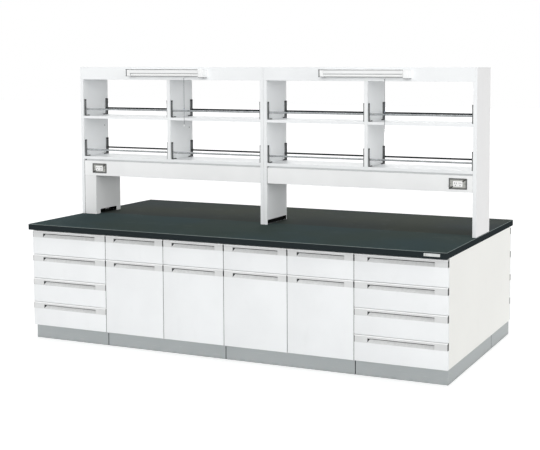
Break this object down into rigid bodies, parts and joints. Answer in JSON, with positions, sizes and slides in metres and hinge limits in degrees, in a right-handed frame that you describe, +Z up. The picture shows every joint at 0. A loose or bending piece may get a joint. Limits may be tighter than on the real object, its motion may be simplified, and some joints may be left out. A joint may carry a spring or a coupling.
{
  "type": "lab bench with reagent shelf",
  "caption": "Island laboratory bench with drawers and cupboards, a dark worktop, and a white reagent rack with lamps, guard rails and outlets along its middle.",
  "frame": {"origin": "on the floor, under the middle of the bench", "axes": "+X along the bench towards the viewer's right, -Y towards the front row of cabinets, +Z up"},
  "size_m": [3, 1.5, 1.87],
  "materials": {
    "front_board": "white melamine-faced board with light grey grip strips",
    "end_board": "white melamine-faced board",
    "cabinet_board": "white melamine-faced board",
    "rack_board": "white melamine-faced board",
    "plinth_board": "grey laminated board",
    "worktop": "dark grey-green solid laminate, satin",
    "foot_plastic": "black moulded plastic",
    "runner_steel": "zinc-plated steel",
    "duct_paint": "white powder coat",
    "rail_chrome": "polished",
    "outlet_metal": "brushed",
    "socket_plastic": "white moulded plastic",
    "lamp_paint": "white powder coat",
    "lamp_diffuser": "opal, satin",
    "lamp_plastic": "white moulded plastic",
    "cord_plastic": "thin pull cord",
    "knob_plastic": "white moulded plastic"
  },
  "bodies": {
    "bench": {"worktop_front": "worktop", "worktop_rear": "worktop", "carcass_drawer_units": "cabinet_board", "carcass_door_units": "cabinet_board", "cupboard_shelves": "cabinet_board", "end_panels": "end_board", "plinth_boards": "plinth_board", "levelling_feet": "foot_plastic", "drawer_runners": "runner_steel", "door_hinges": "runner_steel", "rack_end_panels": "rack_board", "rack_centre_panels": "rack_board", "rack_canopy": "rack_board", "rack_dividers": "rack_board", "rack_shelf_boards": "rack_board", "service_duct": "duct_paint", "riser_duct": "duct_paint", "guard_rods": "rail_chrome", "guard_posts": "rail_chrome", "outlet_plates": "outlet_metal", "outlet_sockets": "socket_plastic", "lamp_housings": "lamp_paint", "lamp_tubes": "lamp_diffuser", "lamp_end_caps": "lamp_plastic"},
    "front_left_drawer_1": {"front_left_drawer_1": "front_board"},
    "front_left_drawer_2": {"front_left_drawer_2": "front_board"},
    "front_left_drawer_3": {"front_left_drawer_3": "front_board"},
    "front_left_drawer_4": {"front_left_drawer_4": "front_board"},
    "front_right_drawer_1": {"front_right_drawer_1": "front_board"},
    "front_right_drawer_2": {"front_right_drawer_2": "front_board"},
    "front_right_drawer_3": {"front_right_drawer_3": "front_board"},
    "front_right_drawer_4": {"front_right_drawer_4": "front_board"},
    "front_middle_drawer_1": {"front_middle_drawer_1": "front_board"},
    "front_middle_drawer_2": {"front_middle_drawer_2": "front_board"},
    "front_middle_drawer_3": {"front_middle_drawer_3": "front_board"},
    "front_middle_drawer_4": {"front_middle_drawer_4": "front_board"},
    "rear_left_drawer_1": {"rear_left_drawer_1": "front_board"},
    "rear_left_drawer_2": {"rear_left_drawer_2": "front_board"},
    "rear_left_drawer_3": {"rear_left_drawer_3": "front_board"},
    "rear_left_drawer_4": {"rear_left_drawer_4": "front_board"},
    "rear_right_drawer_1": {"rear_right_drawer_1": "front_board"},
    "rear_right_drawer_2": {"rear_right_drawer_2": "front_board"},
    "rear_right_drawer_3": {"rear_right_drawer_3": "front_board"},
    "rear_right_drawer_4": {"rear_right_drawer_4": "front_board"},
    "rear_middle_drawer_1": {"rear_middle_drawer_1": "front_board"},
    "rear_middle_drawer_2": {"rear_middle_drawer_2": "front_board"},
    "rear_middle_drawer_3": {"rear_middle_drawer_3": "front_board"},
    "rear_middle_drawer_4": {"rear_middle_drawer_4": "front_board"},
    "front_door_1": {"front_door_1": "front_board"},
    "front_door_2": {"front_door_2": "front_board"},
    "front_door_3": {"front_door_3": "front_board"},
    "front_door_4": {"front_door_4": "front_board"},
    "rear_door_1": {"rear_door_1": "front_board"},
    "rear_door_2": {"rear_door_2": "front_board"},
    "rear_door_3": {"rear_door_3": "front_board"},
    "rear_door_4": {"rear_door_4": "front_board"},
    "pull_left": {"pull_cord_left": "cord_plastic", "pull_knob_left": "knob_plastic"},
    "pull_right": {"pull_cord_right": "cord_plastic", "pull_knob_right": "knob_plastic"}
  },
  "joints": [
    {"name": "front_left_drawer_1_slide", "type": "slide", "parent": "bench", "child": "front_left_drawer_1", "axis": [0, -1, 0], "range_m": [0, 0.4]},
    {"name": "front_left_drawer_2_slide", "type": "slide", "parent": "bench", "child": "front_left_drawer_2", "axis": [0, -1, 0], "range_m": [0, 0.4]},
    {"name": "front_left_drawer_3_slide", "type": "slide", "parent": "bench", "child": "front_left_drawer_3", "axis": [0, -1, 0], "range_m": [0, 0.4]},
    {"name": "front_left_drawer_4_slide", "type": "slide", "parent": "bench", "child": "front_left_drawer_4", "axis": [0, -1, 0], "range_m": [0, 0.4]},
    {"name": "front_right_drawer_1_slide", "type": "slide", "parent": "bench", "child": "front_right_drawer_1", "axis": [0, -1, 0], "range_m": [0, 0.4]},
    {"name": "front_right_drawer_2_slide", "type": "slide", "parent": "bench", "child": "front_right_drawer_2", "axis": [0, -1, 0], "range_m": [0, 0.4]},
    {"name": "front_right_drawer_3_slide", "type": "slide", "parent": "bench", "child": "front_right_drawer_3", "axis": [0, -1, 0], "range_m": [0, 0.4]},
    {"name": "front_right_drawer_4_slide", "type": "slide", "parent": "bench", "child": "front_right_drawer_4", "axis": [0, -1, 0], "range_m": [0, 0.4]},
    {"name": "front_middle_drawer_1_slide", "type": "slide", "parent": "bench", "child": "front_middle_drawer_1", "axis": [0, -1, 0], "range_m": [0, 0.4]},
    {"name": "front_middle_drawer_2_slide", "type": "slide", "parent": "bench", "child": "front_middle_drawer_2", "axis": [0, -1, 0], "range_m": [0, 0.4]},
    {"name": "front_middle_drawer_3_slide", "type": "slide", "parent": "bench", "child": "front_middle_drawer_3", "axis": [0, -1, 0], "range_m": [0, 0.4]},
    {"name": "front_middle_drawer_4_slide", "type": "slide", "parent": "bench", "child": "front_middle_drawer_4", "axis": [0, -1, 0], "range_m": [0, 0.4]},
    {"name": "rear_left_drawer_1_slide", "type": "slide", "parent": "bench", "child": "rear_left_drawer_1", "axis": [0, 1, 0], "range_m": [0, 0.4]},
    {"name": "rear_left_drawer_2_slide", "type": "slide", "parent": "bench", "child": "rear_left_drawer_2", "axis": [0, 1, 0], "range_m": [0, 0.4]},
    {"name": "rear_left_drawer_3_slide", "type": "slide", "parent": "bench", "child": "rear_left_drawer_3", "axis": [0, 1, 0], "range_m": [0, 0.4]},
    {"name": "rear_left_drawer_4_slide", "type": "slide", "parent": "bench", "child": "rear_left_drawer_4", "axis": [0, 1, 0], "range_m": [0, 0.4]},
    {"name": "rear_right_drawer_1_slide", "type": "slide", "parent": "bench", "child": "rear_right_drawer_1", "axis": [0, 1, 0], "range_m": [0, 0.4]},
    {"name": "rear_right_drawer_2_slide", "type": "slide", "parent": "bench", "child": "rear_right_drawer_2", "axis": [0, 1, 0], "range_m": [0, 0.4]},
    {"name": "rear_right_drawer_3_slide", "type": "slide", "parent": "bench", "child": "rear_right_drawer_3", "axis": [0, 1, 0], "range_m": [0, 0.4]},
    {"name": "rear_right_drawer_4_slide", "type": "slide", "parent": "bench", "child": "rear_right_drawer_4", "axis": [0, 1, 0], "range_m": [0, 0.4]},
    {"name": "rear_middle_drawer_1_slide", "type": "slide", "parent": "bench", "child": "rear_middle_drawer_1", "axis": [0, 1, 0], "range_m": [0, 0.4]},
    {"name": "rear_middle_drawer_2_slide", "type": "slide", "parent": "bench", "child": "rear_middle_drawer_2", "axis": [0, 1, 0], "range_m": [0, 0.4]},
    {"name": "rear_middle_drawer_3_slide", "type": "slide", "parent": "bench", "child": "rear_middle_drawer_3", "axis": [0, 1, 0], "range_m": [0, 0.4]},
    {"name": "rear_middle_drawer_4_slide", "type": "slide", "parent": "bench", "child": "rear_middle_drawer_4", "axis": [0, 1, 0], "range_m": [0, 0.4]},
    {"name": "front_door_1_hinge", "type": "hinge", "parent": "bench", "child": "front_door_1", "pos_m": [-0.8895, -0.705, 0.34], "axis": [0, 0, -1], "range_deg": [0, 90]},
    {"name": "front_door_2_hinge", "type": "hinge", "parent": "bench", "child": "front_door_2", "pos_m": [-0.0105, -0.705, 0.34], "axis": [0, 0, 1], "range_deg": [0, 90]},
    {"name": "front_door_3_hinge", "type": "hinge", "parent": "bench", "child": "front_door_3", "pos_m": [0.0105, -0.705, 0.34], "axis": [0, 0, -1], "range_deg": [0, 90]},
    {"name": "front_door_4_hinge", "type": "hinge", "parent": "bench", "child": "front_door_4", "pos_m": [0.8895, -0.705, 0.34], "axis": [0, 0, 1], "range_deg": [0, 90]},
    {"name": "rear_door_1_hinge", "type": "hinge", "parent": "bench", "child": "rear_door_1", "pos_m": [0.8895, 0.705, 0.34], "axis": [0, 0, -1], "range_deg": [0, 90]},
    {"name": "rear_door_2_hinge", "type": "hinge", "parent": "bench", "child": "rear_door_2", "pos_m": [0.0105, 0.705, 0.34], "axis": [0, 0, 1], "range_deg": [0, 90]},
    {"name": "rear_door_3_hinge", "type": "hinge", "parent": "bench", "child": "rear_door_3", "pos_m": [-0.0105, 0.705, 0.34], "axis": [0, 0, -1], "range_deg": [0, 90]},
    {"name": "rear_door_4_hinge", "type": "hinge", "parent": "bench", "child": "rear_door_4", "pos_m": [-0.8895, 0.705, 0.34], "axis": [0, 0, 1], "range_deg": [0, 90]},
    {"name": "pull_left_switch", "type": "slide", "parent": "bench", "child": "pull_left", "axis": [0, 0, -1], "range_m": [0, 0.008], "stiffness_N_per_m": 300, "springref_m": -0.005},
    {"name": "pull_right_switch", "type": "slide", "parent": "bench", "child": "pull_right", "axis": [0, 0, -1], "range_m": [0, 0.008], "stiffness_N_per_m": 300, "springref_m": -0.005}
  ]
}
